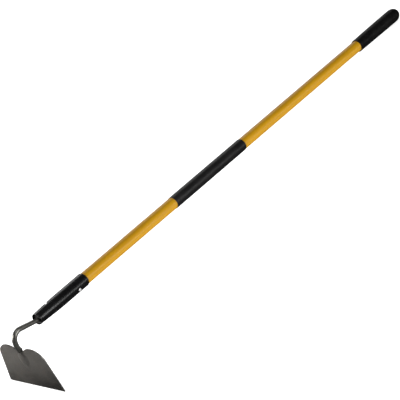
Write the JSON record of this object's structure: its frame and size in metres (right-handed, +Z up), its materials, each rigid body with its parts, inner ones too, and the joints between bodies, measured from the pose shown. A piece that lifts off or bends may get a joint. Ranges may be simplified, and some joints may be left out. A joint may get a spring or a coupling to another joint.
{
  "type": "garden hoe",
  "caption": "Gooseneck hoe: heart-topped flat blade on a bent steel bar, swaged ferrule, long fibreglass tube handle with a mid sleeve and a domed end grip",
  "frame": {"origin": "bottom centre of the bounding box: the ground under the middle of the tool, which rests on its cutting edge and on its butt", "axes": "X runs from the blade to the butt, Y across the blade, Z up; the handle drops 4.6 degrees towards the butt and the blade stands almost upright with its cutting edge down"},
  "size_m": [1.5178, 0.1574, 0.1522],
  "materials": {
    "forged_steel": "dark clear-coated steel, lightly mottled",
    "weld_steel": "heat-darkened bead",
    "black_lacquer": "gloss black lacquer",
    "dark_plastic": "matte",
    "rivet_steel": "bright zinc plate",
    "dowel_wood": "bare",
    "yellow_fibreglass": "gloss, pultruded",
    "black_sleeve": "satin",
    "black_rubber": "matte, fine grain"
  },
  "bodies": {
    "root": {"blade": "forged_steel", "goose_neck": "forged_steel", "neck_weld": "weld_steel", "ferrule": "black_lacquer", "tang_bushing": "dark_plastic", "ferrule_rivet": "rivet_steel", "handle_core": "dowel_wood", "handle_tube": "yellow_fibreglass", "mid_grip": "black_sleeve", "end_grip": "black_rubber", "butt_plug": "dark_plastic"}
  },
  "joints": []
}
